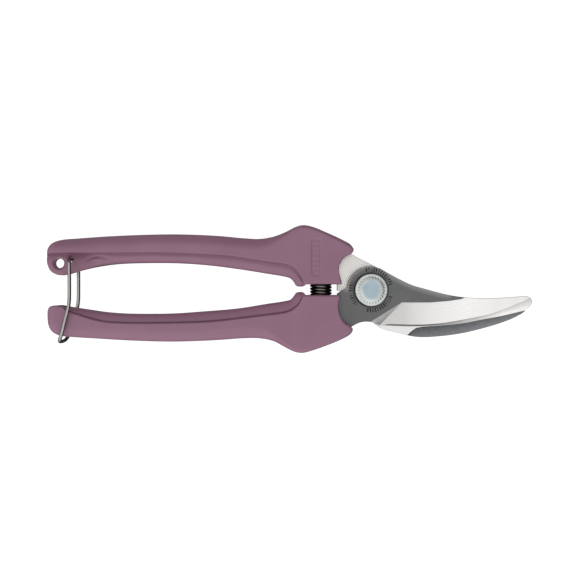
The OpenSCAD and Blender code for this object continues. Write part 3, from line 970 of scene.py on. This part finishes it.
def cutting_blade():
    top_edge = curve([[3.8, 8.3], [7.9, 5.9], [11.5, 4], [16, 1.9], [20.8, 0.5], [25.5, -0.8], [30, -1.9],
                      [35, -2.7], [43, -3.3], [51, -3.1], [57, -2.7], [60.6, -2.4], [62.5, -2.9],
                      [63.35, -4.3], [62.9, -6.1], [60.7, -8.1]], 5)
    edge = curve(CUTTING_EDGE, 5)
    tang = np.array([[-14, -17.3], [-22, -19.8], [-26, -19.8], [-28, -17.5], [-28, -12], [-26, -9.5],
                     [-14.5, -8.4], [-13.2, -6], [-13.1, -1.4], [-11.6, -0.4]])
    outline = np.concatenate([arc(BOSS_R, 176, 88, 18), top_edge[:-1], edge, tang])
    edge_x, edge_y = edge[::-1, 0], edge[::-1, 1]

    def top(x, y):
        if x <= BEVEL_LINE[0, 0] or y > 0:
            return CUTTING_HIGH
        start = np.interp(x, BEVEL_LINE[:, 0], BEVEL_LINE[:, 1])
        micro = np.interp(x, MICRO_LINE[:, 0], MICRO_LINE[:, 1])
        micro_h = np.interp(x, MICRO_RISE[:, 0], MICRO_RISE[:, 1])
        drop = CUTTING_HIGH - CUTTING_LOW - micro_h
        depth = drop * max(start - y, 0) / (start - micro)
        if x < RAMP_FOOT[1, 0]:
            left = np.interp(y, BEVEL_LINE[:2, 1], BEVEL_LINE[:2, 0])
            right = np.interp(y, RAMP_FOOT[:, 1], RAMP_FOOT[:, 0])
            share = np.clip((x - left) / max(right - left, 1e-6), 0, 1)
            depth = drop * max(RAMP_FOOT[1, 1] - y, 0) / RAMP_WIDTH * share
        height = CUTTING_HIGH - depth
        if x > MICRO_LINE[0, 0] and y < micro:
            low_y = np.interp(x, edge_x, edge_y)
            share = np.clip((micro - y) / max(micro - low_y, 1e-6), 0, 1)
            height = CUTTING_LOW + micro_h + (EDGE_H - micro_h) * share
        return max(height, CUTTING_LOW + EDGE_H)

    def slot_of(centre):
        """0 on the dark steel, 1 on the bevel and the flat underside, 2 on the honed strip."""
        x, y, z = centre
        if z < CUTTING_LOW + 0.01:
            return 1
        if x > MICRO_LINE[0, 0] and y < np.interp(x, MICRO_LINE[:, 0], MICRO_LINE[:, 1]):
            return 2
        if x <= BEVEL_FROM_X or top(x, y) >= CUTTING_HIGH - BEVEL_SUNK:
            return 0
        return int(y < np.interp(x, BEVEL_LINE[:, 0], BEVEL_LINE[:, 1]) + BEVEL_REACH)

    back = top_edge[:31]
    lines = [BEVEL_LINE[:5], RAMP_FOOT, MICRO_LINE[:-2]]
    lines += [beside(back[2:], 0.7), beside(back[2:], 1.4), beside(back[2:28], 2.2)]
    lines += [arc(BOSS_R - d, 174, 95, 14) for d in (0.5, 1.0, 1.5)]
    obj = plate("cutting_blade_ground", outline, BUSH_R + 0.05, lines, top, lambda x, y: CUTTING_LOW, slot_of,
                [DARK, BEVEL, HONED])
    rivet_cuts(obj, -1, CUTTING_LOW, CUTTING_HIGH)
    mark_near(obj, "back_sheen", back, 2.2)
    mark_near(obj, "rim_highlight", arc(BOSS_R, 178, 88, 18), 1.5)
    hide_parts("cutting_blade")
    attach(obj, "lower_half")


BAND_LINE = np.array([[14.6, -17.7], [15.7, -16.6], [16.8, -15.7], [18, -14.9], [20.5, -14.4], [28, -13.95],
                      [38, -12.5], [49, -9.9], [58, -7.2]])
BAND_FALL = 0.9


def counter_blade():
    top_edge = np.array([[-28, 12], [-28, 18], [-26, 20.2], [-22, 20.2], [-14, 17.8], [-4, 12.2], [3.8, 8.3]])
    throat = curve([[7.9, 5.9], [9.8, 0], [10.4, -4.5], [13, -8.6], [18, -10.9], [27, -11.4],
                    [38, -10.2], [50, -8], [60, -5.6]], 6)
    hook = curve([[60, -5.6], [61.6, -6.6], [60.9, -8.4], [56.6, -11], [51.5, -13], [46.7, -14.5],
                  [37.1, -16.9], [28, -18.2], [19.5, -18.6], [14.8, -17.9], [9.5, -16.6], [5.3, -15.6],
                  [3, -14.3], [-0.5, -11.3]], 6)
    heel = np.array([[-13, -0.3], [-13.2, 6], [-14.5, 8.4], [-26, 9.5]])
    outline = np.concatenate([top_edge, throat[:-1], hook, arc(BOSS_R, 252, 184, 14), heel])
    hook_x, hook_y = hook[::-1, 0], hook[::-1, 1]

    def in_band(x, y):
        return x > BAND_LINE[0, 0] and y < np.interp(x, BAND_LINE[:, 0], BAND_LINE[:, 1]) + 1e-3

    def top(x, y):
        if not in_band(x, y):
            return COUNTER_HIGH
        line = np.interp(x, BAND_LINE[:, 0], BAND_LINE[:, 1])
        outer = np.interp(x, hook_x, hook_y)
        return COUNTER_HIGH - BAND_FALL * np.clip((line - y) / max(line - outer, 0.8), 0, 1)

    def slot_of(centre):
        """0 on the turned steel round the pivot, 1 on the dark band, 2 on the rest of the hook."""
        x, y, z = centre
        if z > COUNTER_HIGH - 1.2 and in_band(x, y):
            return 1
        return 2 if x > 4 else 0

    obj = plate("counter_blade_ground", outline, BUSH_R, [BAND_LINE], top, lambda x, y: COUNTER_LOW, slot_of,
                [TURNED, SCALE, GROUND])
    rivet_cuts(obj, 1, COUNTER_LOW, COUNTER_HIGH)
    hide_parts("counter_blade")
    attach(obj, "upper_half")


# ---------------------------------------------------------------- pivot

def pivot_bolt():
    pit_r, pits = 5.1, 26
    pit_depth, pit_wide, pit_long = 0.26, 0.26, 0.3
    rise, dome = 0.36, 0.54

    def pitted(r, angle, z):
        if z < HEAD_LOW + 0.5:
            return 0.0
        turn = angle * pits / (2 * math.pi)
        away = (turn - round(turn)) * 2 * math.pi * r / pits
        return -pit_depth * math.exp(-((away / pit_wide) ** 2 + ((r - pit_r) / pit_long) ** 2))

    flange = HEAD_TOP - rise - dome
    profile = [(0.02, 0.0), (2.0, 0.0), (SHANK_R - 0.4, 0.0), (SHANK_R, 0.4), (SHANK_R, HEAD_LOW),
               (HEAD_R - 0.3, HEAD_LOW), (HEAD_R - 0.08, HEAD_LOW + 0.15), (HEAD_R, HEAD_LOW + 0.5),
               (HEAD_R, flange), (HEAD_R - 0.08, flange + 0.2), (HEAD_R - 0.3, flange + rise)]
    for r in np.arange(5.9, 3.6, -0.12):
        profile.append((r, flange + rise + dome * smooth((HEAD_R - 0.3 - r) / 2.4)))
    for r in (3.4, 2.6, 1.8, 1.0, 0.02):
        profile.append((r, HEAD_TOP - 0.06 * smooth((3.4 - r) / 3.0)))
    obj = lathe("pivot_bolt_head", profile, 208, BOLT_ZINC, pitted, sharp=40)
    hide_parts("pivot_bolt")
    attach(obj, "upper_half")


def pivot_nut():
    """Hexagon nut with its corners turned down on both faces."""
    half_flats = high("pivot_nut", 1)
    sides, lead_in = 96, 0.35
    verts = []
    # Radius and height of each ring. None is the hexagon itself.
    rings = [(SHANK_R + lead_in, 0.0), (half_flats - 0.3, 0.0), (None, 0.0), (None, NUT_TOP),
             (half_flats - 0.3, NUT_TOP), (SHANK_R + lead_in, NUT_TOP), (SHANK_R, NUT_TOP - lead_in),
             (SHANK_R, lead_in)]
    for r, z in rings:
        for k in range(sides):
            a = 2 * math.pi * k / sides
            turn = (math.degrees(a) + 30) % 60 - 30
            corner = half_flats / math.cos(math.radians(30 - abs(turn)))
            reach = corner - half_flats
            if r is None:
                verts.append((corner * math.cos(a), corner * math.sin(a),
                              z + (0.2 + 0.55 * reach) * (1 if z == 0 else -1)))
            else:
                verts.append((r * math.cos(a), r * math.sin(a), z))
    faces = []
    for i in range(len(rings)):
        faces += band(i * sides, (i + 1) % len(rings) * sides, sides)
    obj = make_object("pivot_nut_hex", verts, faces, [ZINC], sharp=20)
    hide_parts("pivot_nut")
    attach(obj, "upper_half")


# ---------------------------------------------------------------- spring and latch

def return_spring():
    """The closed coil, its wire a hair thinner than the solid's."""
    wire_r, solid_wire_r = 0.53, 0.55
    coil_r = SPRING_R - solid_wire_r
    turns, steps, pitch = 8.25, 28, 1.2
    path = []
    for i in range(int(turns * steps) + 1):
        a = 2 * math.pi * i / steps
        y = solid_wire_r - SPRING_END + pitch * i / steps
        path.append((coil_r * math.cos(a) + SPRING_X, y, MID_Z + coil_r * math.sin(a)))
    obj = sweep("return_spring_coil", path, wire_r, 14, BLACK)
    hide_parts("return_spring")
    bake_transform(obj)


def latch_wire():
    """The bail: one leg from its hooked-in end to the U under the lower handle, and its mirror."""
    clear = 0.3
    half = HALF_W + clear + WIRE_R
    leg = [[*LATCH_PIVOT, 0.2], [*LATCH_PIVOT, 2.3], [*LATCH_PIVOT, 3], [-116.95, 11.65, half - 3.2],
           [-116.65, 11.25, half - 1.7], [-116.5, 10.95, half - 0.8], [-116.42, 10.4, half - 0.2],
           [-116.35, 8.2, half - 0.1], [-116.3, 2, half - 0.1], [-116.4, -4.5, half - 0.15],
           [-116.8, -7.1, half - 0.2], [-118.2, -12.3, half - 0.4],
           [-119, -15.5, half - 0.6], [-119.7, -17.5, half - 1],
           [-120.5, -19.3, half - 2.2], [-120.9, -20, half - 4]]
    path = leg + [[x, y, -z] for x, y, z in leg[::-1]]
    points = curve(path, 6) + np.array([0, 0, MID_Z])
    obj = sweep("latch_wire_bail", points, WIRE_R, 16, WIRE)
    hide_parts("latch_wire")
    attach(obj, "latch")


# ---------------------------------------------------------------- carried-over nodes

def dress_nodes():
    """Materials for the CAD nodes that are shown as they are."""
    looks = {"head_washer": ZINC, "nut_washer": ZINC, "blade_shim": GROUND, "pivot_bush": GROUND}
    for half in ("upper", "lower"):
        for piece in ("spring_seat", "near_spacer", "far_spacer"):
            looks[f"{half}_{piece}"] = PACKING
        looks[f"{half}_tang_rivets"] = ZINC
    for name, material in looks.items():
        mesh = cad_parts[name].data
        mesh.materials.clear()
        mesh.materials.append(material)
        mesh.set_sharp_from_angle(angle=math.radians(30))


# ---------------------------------------------------------------- stage

# In metres
FLOOR_REACH = 12
FLOOR_Z = -0.0002


def pale_floor():
    """A plain pale floor that no glossy surface reflects, so that rims stay dark."""
    floor_mesh = bpy.data.meshes.new("floor")
    reach = FLOOR_REACH
    corners = [(-reach, -reach, 0), (reach, -reach, 0), (reach, reach, 0), (-reach, reach, 0)]
    floor_mesh.from_pydata(corners, [], [[0, 1, 2, 3]])
    floor = bpy.data.objects.new("floor", floor_mesh)
    floor.location.z = FLOOR_Z
    bpy.context.scene.collection.objects.link(floor)
    material = bpy.data.materials.new("floor_white")
    material.use_nodes = True
    shader = material.node_tree.nodes["Principled BSDF"]
    shader.inputs["Base Color"].default_value = (0.25, 0.25, 0.25, 1)
    shader.inputs["Roughness"].default_value = 0.9
    shader.inputs["Emission Color"].default_value = (1, 1, 1, 1)
    shader.inputs["Emission Strength"].default_value = 0.96
    floor_mesh.materials.append(material)
    floor.visible_glossy = False


def studio_sky():
    """A pale dome that darkens towards the upper handle's back and to the right, and a soft box overhead."""
    world = bpy.data.worlds.new("studio")
    world.use_nodes = True
    tree = world.node_tree
    place = tree.nodes.new("ShaderNodeTexCoord")

    def level(direction, lowest, highest, dark, bright):
        """World strength that rises from dark to bright as a view turns towards a direction."""
        lean = tree.nodes.new("ShaderNodeVectorMath")
        lean.operation = "DOT_PRODUCT"
        lean.inputs[1].default_value = direction
        tree.links.new(place.outputs["Generated"], lean.inputs[0])
        ramp = tree.nodes.new("ShaderNodeMapRange")
        ramp.interpolation_type = "SMOOTHSTEP"
        ramp.inputs["From Min"].default_value = lowest
        ramp.inputs["From Max"].default_value = highest
        ramp.inputs["To Min"].default_value = dark
        ramp.inputs["To Max"].default_value = bright
        tree.links.new(lean.outputs["Value"], ramp.inputs["Value"])
        return ramp.outputs["Result"]

    dome = level((-0.16, -0.41, 0.70), -0.45, 0.70, 0.05, 0.97)
    dark_side = level((1.0, 0.0, 0.0), 0.45, 0.80, 1.0, 0.08)
    softbox = level((0.0, 0.0, 1.0), 0.90, 0.985, 0.0, 0.25)
    shaded = tree.nodes.new("ShaderNodeMath")
    shaded.operation = "MULTIPLY"
    tree.links.new(dome, shaded.inputs[0])
    tree.links.new(dark_side, shaded.inputs[1])
    both = tree.nodes.new("ShaderNodeMath")
    both.operation = "ADD"
    tree.links.new(shaded.outputs["Value"], both.inputs[0])
    tree.links.new(softbox, both.inputs[1])
    background = tree.nodes["Background"]
    background.inputs["Color"].default_value = (1, 1, 1, 1)
    tree.links.new(both.outputs["Value"], background.inputs["Strength"])
    bpy.context.scene.world = world


def key_light():
    light = bpy.data.lights.new("key_light", "AREA")
    light.shape = "RECTANGLE"
    light.size, light.size_y = 1.2, 0.7
    light.energy = 1.0
    key = bpy.data.objects.new("key_light", light)
    key.location = (0.1, -0.7, 0.95)
    key.rotation_euler = (Vector((-0.03, 0, 0)) - key.location).to_track_quat("-Z", "Y").to_euler()
    bpy.context.scene.collection.objects.link(key)


# The camera looks straight down, from a height above the blades' mating plane
CAMERA_HEIGHT = 370.0
VIEW_W = 227.3
VIEW_CENTRE = (-31.72, 0.16)


def camera():
    sensor = 36.0
    data = bpy.data.cameras.new("camera")
    data.sensor_width = sensor
    data.lens = sensor / 2 / (VIEW_W / 2 / CAMERA_HEIGHT)
    data.clip_start = 0.01
    obj = bpy.data.objects.new("camera", data)
    obj.location = (VIEW_CENTRE[0] * MM, VIEW_CENTRE[1] * MM, (MID_Z + CAMERA_HEIGHT) * MM)
    bpy.context.scene.collection.objects.link(obj)
    bpy.context.scene.camera = obj


camera()
build_handles()
cutting_blade()
counter_blade()
pivot_bolt()
pivot_nut()
return_spring()
latch_wire()
dress_nodes()
pale_floor()
studio_sky()
key_light()
bpy.context.scene.view_settings.view_transform = "Standard"
